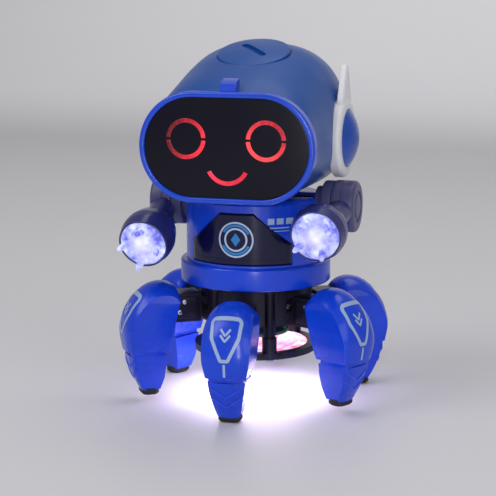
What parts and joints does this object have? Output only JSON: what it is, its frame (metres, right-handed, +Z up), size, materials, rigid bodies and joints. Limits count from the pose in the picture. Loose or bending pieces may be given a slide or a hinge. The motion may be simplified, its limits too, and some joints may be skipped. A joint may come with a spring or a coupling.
{
  "type": "toy robot",
  "caption": "Toy robot with a visored head, two arms with lit claws and a ring of legs driven by a crank with opposed eccentrics.",
  "frame": {"origin": "on the floor, under the middle of the body and of the ring of legs", "axes": "+Z up, -Y towards the robot's face, +X to the viewer's right when looking at the face"},
  "size_m": [0.1464, 0.1524, 0.1933],
  "materials": {
    "blue_shell": "glossy injection-moulded plastic, self-coloured",
    "chest_black": "glossy black plastic",
    "visor_black": "smoked window, satin gloss",
    "red_light": "red light guide, lit",
    "white_shell": "white plastic, soft gloss",
    "shoulder_black": "dark satin plastic",
    "clear_lens": "clear plastic lens lit from behind",
    "clear_dome": "clear plastic bowl lit from behind",
    "base_black": "black plastic, low gloss",
    "board_green": "green circuit board",
    "bright_steel": "bright steel",
    "gear_white": "white acetal gear",
    "battery_jacket": "printed steel jacket",
    "speaker_grey": "dark coated steel",
    "foot_rubber": "black soft rubber"
  },
  "bodies": {
    "chassis": {"base_housing": "base_black", "base_screws": "bright_steel", "battery_box": "base_black", "battery_cells": "battery_jacket", "chest_plate": "chest_black", "drive_motor": "bright_steel", "ear_disc_left": "blue_shell", "ear_disc_right": "blue_shell", "ear_pod_left": "white_shell", "ear_pod_right": "white_shell", "face_bezel": "blue_shell", "face_circuit_board": "board_green", "face_light_guides": "red_light", "gearbox_cover": "base_black", "helmet_shell": "blue_shell", "light_board": "board_green", "light_cage": "base_black", "light_dome": "clear_dome", "main_circuit_board": "board_green", "shoulder_collar_left": "shoulder_black", "shoulder_collar_right": "shoulder_black", "speaker": "speaker_grey", "torso_shell": "blue_shell", "visor": "visor_black", "waist_flange": "blue_shell"},
    "legs_a": {"leg_frame_a": "base_black", "leg_screws_a": "bright_steel", "leg_cover_front": "blue_shell", "leg_cover_rear_right": "blue_shell", "leg_cover_rear_left": "blue_shell", "leg_tip_front": "blue_shell", "leg_tip_rear_right": "blue_shell", "leg_tip_rear_left": "blue_shell", "foot_pad_front": "foot_rubber", "foot_pad_rear_right": "foot_rubber", "foot_pad_rear_left": "foot_rubber"},
    "legs_b": {"leg_frame_b": "base_black", "leg_screws_b": "bright_steel", "leg_cover_front_right": "blue_shell", "leg_cover_rear": "blue_shell", "leg_cover_front_left": "blue_shell", "leg_tip_front_right": "blue_shell", "leg_tip_rear": "blue_shell", "leg_tip_front_left": "blue_shell", "foot_pad_front_right": "foot_rubber", "foot_pad_rear": "foot_rubber", "foot_pad_front_left": "foot_rubber"},
    "crank": {"crankshaft": "bright_steel"},
    "wheel": {"reduction_gear": "gear_white"},
    "pinion": {"motor_pinion": "gear_white"},
    "arm_left": {"arm_left": "shoulder_black", "claw_lens_left": "clear_lens", "hand_led_left": "board_green"},
    "arm_right": {"arm_right": "shoulder_black", "claw_lens_right": "clear_lens", "hand_led_right": "board_green"},
    "cap": {"coin_slot_cap": "blue_shell"},
    "switch": {"power_switch_knob": "base_black"},
    "door": {"battery_door": "blue_shell", "battery_door_screw": "bright_steel"}
  },
  "joints": [
    {"name": "crank_turn", "type": "hinge", "parent": "chassis", "child": "crank", "pos_m": [0, 0, 0.05], "axis": [1, 0, 0], "continuous": true},
    {"name": "legs_a_follow", "type": "hinge", "parent": "crank", "child": "legs_a", "pos_m": [-0.011, 0, 0.04825], "axis": [1, 0, 0], "continuous": true},
    {"name": "legs_b_follow", "type": "hinge", "parent": "crank", "child": "legs_b", "pos_m": [0.011, 0, 0.05175], "axis": [1, 0, 0], "continuous": true},
    {"name": "wheel_turn", "type": "hinge", "parent": "chassis", "child": "wheel", "pos_m": [0, -0.00436, 0.06225], "axis": [1, 0, 0], "continuous": true},
    {"name": "pinion_turn", "type": "hinge", "parent": "chassis", "child": "pinion", "pos_m": [0, -0.012, 0.0715], "axis": [1, 0, 0], "continuous": true},
    {"name": "shoulder_left", "type": "hinge", "parent": "chassis", "child": "arm_left", "pos_m": [-0.05, 0, 0.1057], "axis": [1, 0, 0], "range_deg": [-16, 4.5]},
    {"name": "shoulder_right", "type": "hinge", "parent": "chassis", "child": "arm_right", "pos_m": [0.05, 0, 0.1057], "axis": [1, 0, 0], "range_deg": [-7, 14]},
    {"name": "cap_turn", "type": "hinge", "parent": "chassis", "child": "cap", "pos_m": [0, -0.004, 0.1882], "axis": [0, -0.309, 0.9511], "range_deg": [0, 45]},
    {"name": "switch_slide", "type": "slide", "parent": "chassis", "child": "switch", "axis": [1, 0, 0], "range_m": [0, 0.006]},
    {"name": "door_lift", "type": "slide", "parent": "chassis", "child": "door", "axis": [0, 1, 0], "range_m": [0, 0.02]}
  ],
  "couplings": [
    {"joint": "legs_a_follow", "follows": "crank_turn", "ratio": -1},
    {"joint": "legs_b_follow", "follows": "crank_turn", "ratio": -1},
    {"joint": "wheel_turn", "follows": "crank_turn", "ratio": -2.25},
    {"joint": "pinion_turn", "follows": "crank_turn", "ratio": 6.75}
  ]
}
